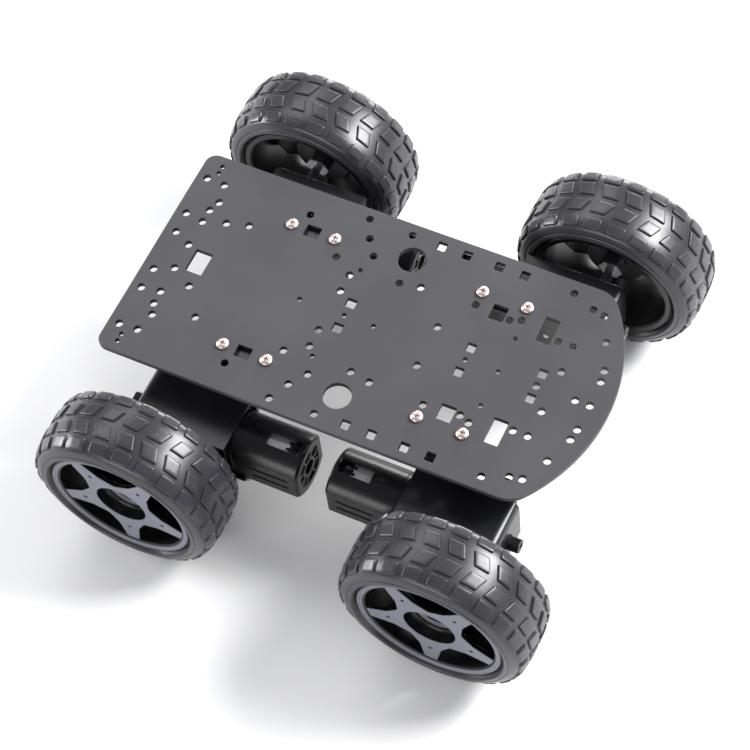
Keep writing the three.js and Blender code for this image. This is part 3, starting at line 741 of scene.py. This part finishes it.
# ---------------------------------------------------------------- gear case, wrap, bracket and bolt
def build_cases():
    x0, x1 = WRAP_LOW.x, WRAP_HIGH.x
    z0, z1 = WRAP_LOW.z, WRAP_HIGH.z
    bend, gauge, shell_wall = 5.5, 1.0, 1.2
    outer = fillet([(x0, z1), (x1, z1), (x1, z0), (x0, z0)], [0, bend, bend, 0], 8, closed=False)
    inner = fillet(rect(x0, z0 + gauge, x1 - gauge, z1 - gauge), [0, bend - gauge, bend - gauge, 0], 8,
                   closed=False)
    wrap = Solid()
    y0, y1 = WRAP_LOW.y, WRAP_HIGH.y
    wrap.plate(outer + inner, [], y0, y1, 0.3, upright, steps=3)

    case = Solid()
    gap = gauge + 0.3
    cx1, cz0, cz1 = x1 - gap, z0 + gap, z1 - gap
    shell = fillet(rect(x0, cz0, cx1, cz1), [0.8, bend - gap, bend - gap, 0.8], 6)
    top, cap = CASE_HIGH.y, 1.8
    case.plate(shell, [circle(AXLE_X, AXLE_Z, 2.8, 28)], top - cap, top, 0.5, upright, steps=3)
    tub = fillet(rect(x0 + shell_wall, cz0 + shell_wall, cx1 - shell_wall, cz1 - shell_wall),
                 [0.5, 2.8, 2.8, 0.5], 6)
    case.plate(shell, [tub], CASE_LOW.y, top - cap, 0.1, upright)
    case.turn([(4.6, top - 0.2), (4.6, top + 0.22), (4.3, top + 0.32), (3.1, top + 0.32), (2.85, top - 0.2)],
              "y", (AXLE_X, AXLE_Z), 36)
    screw_head = [(0, top - 0.4), (1.9, top - 0.4), (1.9, top + 0.1), (1.6, top + 0.3), (0.85, top + 0.3),
                  (0.7, top - 0.3), (0, top - 0.3)]
    left, right, low, high = x0 + 4.2, cx1 - 4.2, cz0 + 4, cz1 - 4
    for place in ((left, low), (left, high), (70.5, low), (right, low), (right, high)):
        case.turn(screw_head, "y", place, 24)
    frame_x = 60
    for v in (MOTOR_Z + 8.2, MOTOR_Z - 8.2):
        case.plate(window(frame_x, v, 16, 5), [window(frame_x, v, 14, 3)], top - 0.4, top + 0.28, 0.15,
                   upright)

    bracket = Solid()
    bx0, bx1 = BRACKET_LOW.x, BRACKET_HIGH.x
    sheet, flange_y, flange_past_screw = 1.9, 33.6, 6.2
    by0, by1 = BRACKET_HIGH.y - sheet, BRACKET_HIGH.y
    btop, blow = BRACKET_HIGH.z, BRACKET_LOW.z
    web_x = WRAP_LOW.x - 2
    slot_x0, slot_x1 = 74, 91
    web = fillet([(bx0, btop - 2.2), (bx0, btop - 5.2), (web_x, btop - 5.2), (web_x, blow), (bx1, blow),
                  (bx1, btop - 2.2)], [0.5, 1.5, 2, 1.5, 4, 2.5], 6)
    openings = [fillet(rect(slot_x0, btop - 14, slot_x1, btop - 6), 1.5, 4), circle(AXLE_X, AXLE_Z, 3.1, 24),
                circle(CROWN_X, MOTOR_Z, 1.9, 16)]
    bracket.plate(web, openings, by0, by1, 0.25, upright)
    section = fillet([(by1, btop - 5), (by1, btop), (flange_y, btop), (flange_y, btop - sheet),
                      (by0, btop - sheet), (by0, btop - 5)], [0, 2.3, 0.4, 0.4, 0.9, 0], 5)
    flange_x = middle("front_left_deck_screw_2")[0] + flange_past_screw
    bracket.plate(section, [], bx0, flange_x, 0.25, crossways)

    bolt = Solid()
    face = BOLT_HIGH.x
    start = WRAP_HIGH.x + 0.15
    head_r, shank_r, socket_r, socket_end = 4.05, 1.9, 1.9, face - 2.6
    axis = (MOTOR_Y, BOLT_Z)
    bolt.turn([(0, BOLT_LOW.x), (shank_r, BOLT_LOW.x), (shank_r, start), (head_r, start),
               (head_r, start + 0.8), (3.5, start + 0.9), (0, start + 0.9)], "x", axis, 36)
    bolt.plate(fillet(circle(0, 0, head_r, 6), 1.0, 4), [circle(0, 0, socket_r, 6)], start + 0.8, face, 0.5,
               lambda u, v, h: (h, MOTOR_Y + u, BOLT_Z + v), steps=3)
    bolt.turn([(0, start + 1), (2.2, start + 1), (2.2, socket_end), (0, socket_end)], "x", axis, 12)

    for where in CORNERS:
        for name, solid, material, slot, node in (
                ("sheet_wrap", wrap, BLACK_SHEET, "black_sheet", "case_wrap"),
                ("gear_housing", case, BLACK_PLASTIC, "black_plastic", "gear_case"),
                ("motor_bracket", bracket, BLACK_SHEET, "black_sheet", "mount_bracket"),
                ("hex_bolt", bolt, BLACK_BOLT, "black_bolt", "end_bolt")):
            add_copy(where, name, solid, [material], 35, "chassis", node)


# ---------------------------------------------------------------- motor cover and can
def cover_section(inside):
    """Loop round the motor axis: arcs above and below and flats at the sides, with points for the window and
    the slots."""
    r = (COVER_HIGH.z - COVER_LOW.z) / 2 - inside
    side = (COVER_HIGH.y - COVER_LOW.y) / 2 - inside
    lean = math.degrees(math.acos(side / r))
    marks = [lean, 40, 47, 54, 61, 68, 75.7, 80.5, 85.3, 90, 94.7, 99.5, 104.3, 112, 119, 126, 133, 140,
             180 - lean]
    top = [turned(math.radians(a), r, 0) for a in marks]
    tall = top[0][1]
    right = [(side, z) for z in (-tall, -4.0, -2.2, 2.2, 4.0)]
    left = [(-side, z) for z in (tall, 4.0, 2.2, -2.2, -4.0, -tall)]
    bottom = [turned(math.radians(-a), r, 0) for a in reversed(marks)]
    return right + top + left[1:-1] + bottom[:-1]


def build_covers():
    x0, x1 = COVER_LOW.x, COVER_HIGH.x
    wall = 1.3
    section = cover_section(0)
    count = len(section)
    window_x0, slot_x0, step_x, window_x1, slot_x1 = 10.5, 13.0, 16.0, 27.8, 33.0
    stations = [(x0, 1.5), (x0 + 0.25, 0.75), (x0 + 0.8, 0.2), (x0 + 1.5, 0.0), (window_x0, 0.0),
                (slot_x0, 0.0), (step_x, 0.0), (window_x1, 0.0), (slot_x1, 0.0), (x1 - 2.2, 0.0),
                (x1 - 2.0, 0.25), (x1 - 1.6, 0.25), (x1 - 1.4, 0.0), (x1 - 0.3, 0.0), (x1, 0.25)]
    shell = Solid()
    rings = []
    for x, off in stations:
        points = cover_section(off)
        rings.append(shell.loop([(x, MOTOR_Y + a, MOTOR_Z + b) for a, b in points]))
    window_cells = [i for i, (a, b) in enumerate(section) if b > 0 and abs(a) < 4.2]
    slot_cells = [1, 3]
    for k, (a, b) in enumerate(zip(rings, rings[1:])):
        x = stations[k][0]
        for i in range(count):
            j = (i + 1) % count
            in_window = x in (window_x0, slot_x0, step_x) and i in window_cells and j in window_cells
            in_slot = x in (slot_x0, step_x, window_x1) and i in slot_cells
            if not (in_window or in_slot):
                shell.face((a[i], a[j], b[j], b[i]))
    end_ring_r = 14.7
    ends = [rings[0]]
    for x, share in ((x0 + 0.02, 0.22), (x0 + 0.9, 0.25), (x0 + 1.0, 0.6), (x0 + 0.35, 0.62),
                     (x0 + 0.3, 0.72)):
        ring = []
        for a, b in cover_section(1.5):
            reach = math.hypot(a, b)
            target = (reach if share < 0.5 else end_ring_r) * (1 - share)
            ring.append((x, MOTOR_Y + a / reach * target, MOTOR_Z + b / reach * target))
        ends.append(shell.loop(ring))
    for a, b in zip(ends, ends[1:]):
        shell.bridge(a, b)

    trim = Solid()
    spokes, spoke_in, spoke_out, spoke_half = 8, 5.6, 11.0, 0.6
    for i in range(spokes):
        angle = 2 * math.pi * (i + 0.5) / spokes
        block = []
        for x, less in ((x0 + 1.1, 0.0), (x0 + 0.45, 0.0), (x0 + 0.25, 0.2)):
            near, far, wide = spoke_in + less, spoke_out - less, spoke_half * (1 - less)
            ring = [turned(angle, *p) for p in rect(near, -wide, far, wide)]
            block.append([(x, MOTOR_Y + u, MOTOR_Z + v) for u, v in ring])
        trim.loft(block)
    boss = (MOTOR_Y + 12.6, MOTOR_Z - 10.6)
    trim.turn([(0, 36.5), (1.4, 36.5), (2.3, 37.4), (2.4, 38), (2.4, x1 - 0.1), (0, x1 - 0.1)], "x", boss, 28)
    trim.turn([(0, 35.2), (0.7, 35.2), (1.5, 35.6), (1.6, 36.6), (0, 36.6)], "x", boss, 24, slot=1)
    rib = fillet(rect(14, -0.5, 38, 0.5), 0.4, 3)
    for z in (MOTOR_Z + 6.9, MOTOR_Z - 6.9):
        trim.plate(rib, [], MOTOR_Y + 13.1, MOTOR_Y + 13.48, 0.15, lambda u, v, h, z=z: (u, h, z + v))

    can = Solid()
    c0, c1 = CAN_LOW.x, CAN_HIGH.x
    r = (CAN_HIGH.z - CAN_LOW.z) / 2
    can.turn([(3.2, c0 + 1), (3.2, c0), (6, c0), (6.2, c0 + 0.3), (r - 1.3, c0 + 0.3), (r - 0.4, c0 + 0.6),
              (r, c0 + 1.4), (r, c0 + 3.6), (r - 0.15, c0 + 3.8), (r - 0.15, c0 + 4.0), (r, c0 + 4.2),
              (r, c1 - 0.9), (r - 0.9, c1), (1.6, c1), (1.6, c1 - 1), (r - 1.1, c1 - 1), (r - 1.1, c0 + 1.3)],
             "x", (MOTOR_Y, MOTOR_Z), 72)
    terminal = Solid()
    terminal.turn([(r + 0.02, 12.7), (r + 0.9, 12.8), (r + 0.95, 15.3), (r + 0.02, 15.6), (r - 0.3, 14)], "x",
                  (MOTOR_Y, MOTOR_Z), 72)
    for angle, tip in ((77, 17.2), (84.5, 18.5), (92.5, 17.0), (101, 18.2)):
        finger = []
        for x, wide in ((14.6, 0.7), (tip - 0.9, 0.65), (tip, 0.3)):
            ring = [turned(math.radians(angle), r + h, u) for u, h in rect(-wide, -0.1, wide, 0.9)]
            finger.append([(x, MOTOR_Y + u, MOTOR_Z + v) for u, v in ring])
        terminal.loft(finger)

    for where in CORNERS:
        obj = add_copy(where, "cover_shell", shell, [BLACK_PLASTIC], 35, "chassis",
                       "motor_cover")
        thick = obj.modifiers.new("wall", "SOLIDIFY")
        thick.thickness = wall * MM
        thick.offset = -1
        thick.use_even_offset = True
        soft = obj.modifiers.new("edges", "BEVEL")
        soft.width = 0.22 * MM
        soft.segments = 2
        soft.limit_method = "ANGLE"
        soft.angle_limit = math.radians(50)
        obj.modifiers.move(0, 2)
        add_copy(where, "cover_trim", trim, [BLACK_PLASTIC, SHAFT_STEEL], 35, "chassis")
        add_copy(where, "steel_can", can, [MOTOR_STEEL], 35, "chassis", "motor_can")
        add_copy(where, "terminals", terminal, [BLACK_PLASTIC], 35, "chassis")


# ---------------------------------------------------------------- carried-over internal pieces
def finish_internals():
    for corner, _, _ in CORNERS:
        for piece, material in (("crown_gear", GEAR_PLASTIC), ("motor_rotor", SHAFT_STEEL)):
            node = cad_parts[f"{corner}_{piece}"]
            node.data.materials.clear()
            node.data.materials.append(material)


# ---------------------------------------------------------------- stage
def build_stage():
    floor_mesh = bpy.data.meshes.new("floor")
    half = 12.0
    floor_mesh.from_pydata([(x, y, 0) for x, y in rect(-half, -half, half, half)], [], [(0, 1, 2, 3)])
    floor = bpy.data.objects.new("floor", floor_mesh)
    bpy.context.scene.collection.objects.link(floor)
    floor_mesh.materials.append(surface("floor", (0.92, 0.92, 0.925), 0.75, tint=0.006, blotch=3, grain=300,
                                        bump=0.02, rough_vary=0.02))

    world = bpy.data.worlds.new("studio")
    bpy.context.scene.world = world
    world.use_nodes = True
    world.node_tree.nodes["Background"].inputs["Color"].default_value = (0.96, 0.975, 1.0, 1)
    world.node_tree.nodes["Background"].inputs["Strength"].default_value = 0.3

    def area_light(name, place, target, size, power):
        light = bpy.data.lights.new(name, "AREA")
        light.shape = "RECTANGLE"
        light.size, light.size_y = size
        light.energy = power
        obj = bpy.data.objects.new(name, light)
        bpy.context.scene.collection.objects.link(obj)
        obj.location = place
        aim = Vector(target) - Vector(place)
        obj.rotation_euler = aim.to_track_quat("-Z", "Y").to_euler()

    area_light("key", (0.96, 0.70, 1.09), (0, 0, 0.05), (0.6, 0.6), 42)
    area_light("left", (-0.9, 0.7, 1.4), (0, 0, 0.05), (1.2, 0.8), 9)
    area_light("near", (-0.2, -1.5, 0.7), (0, 0, 0.05), (1.2, 0.5), 11)
    area_light("low_left", (-0.1, 1.3, 0.28), (0, 0, 0), (1.0, 0.3), 18)
    area_light("low_rear", (-1.4, -0.2, 0.3), (0, 0, 0), (0.6, 0.3), 15)

    camera = bpy.data.cameras.new("camera")
    camera.lens = 121.9
    camera.sensor_width = 36
    camera.clip_end = 20
    obj = bpy.data.objects.new("camera", camera)
    bpy.context.scene.collection.objects.link(obj)
    right, up = Vector((0.8995, 0.4305, -0.0750)), Vector((-0.3352, 0.7899, 0.5134))
    back = Vector((0.2803, -0.4367, 0.8548))
    turn = Matrix((right, up, back)).transposed().to_4x4()
    obj.matrix_world = Matrix.Translation((0.3531, -0.5565, 1.1273)) @ turn
    bpy.context.scene.camera = obj
    bpy.context.scene.view_settings.view_transform = "Standard"
    bpy.context.scene.view_settings.look = "None"


build_stage()
build_deck()
build_screws()
build_tyres()
build_rims()
build_shafts()
build_cases()
build_covers()
finish_internals()
